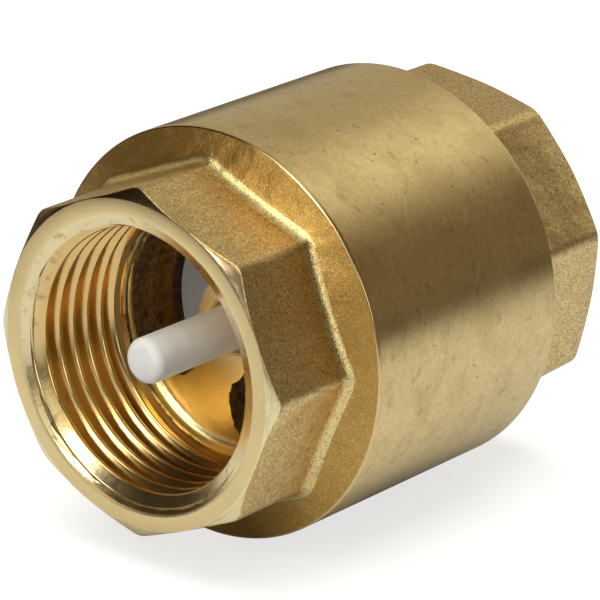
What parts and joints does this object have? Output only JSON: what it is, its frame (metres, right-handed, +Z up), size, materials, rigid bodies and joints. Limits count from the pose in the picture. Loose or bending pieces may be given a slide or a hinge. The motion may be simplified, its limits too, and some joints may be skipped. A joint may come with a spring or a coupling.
{
  "type": "check valve",
  "caption": "Spring-loaded in-line brass check valve: turned drum between two octagonal wrench ends with female pipe threads, plastic poppet with guide stems.",
  "frame": {"origin": "on the flow axis, midway between the two end faces", "axes": "+X along the flow, from the inlet to the outlet; +Z up; an inlet octagon corner points to +Z"},
  "size_m": [0.059, 0.048, 0.048],
  "materials": {
    "body_brass": "sandblasted forging with turned drum, face and thread",
    "cap_brass": "sandblasted forging with turned face and thread",
    "black_rubber": "satin",
    "white_plastic": "satin, slightly translucent",
    "seal_rubber": "matte",
    "retainer_plastic": "satin, slightly translucent",
    "spring_steel": "drawn stainless wire"
  },
  "bodies": {
    "valve_body": {"inlet_body": "body_brass", "outlet_cap": "cap_brass", "cap_o_ring": "black_rubber", "closing_spring": "spring_steel"},
    "moving_poppet": {"poppet": "white_plastic", "sealing_ring": "seal_rubber", "ring_retainer": "retainer_plastic"}
  },
  "joints": [
    {"name": "poppet_slide", "type": "slide", "parent": "valve_body", "child": "moving_poppet", "axis": [1, 0, 0], "range_m": [0, 0.007], "stiffness_N_per_m": 150, "springref_m": -0.011, "deforming": ["closing_spring"]}
  ]
}
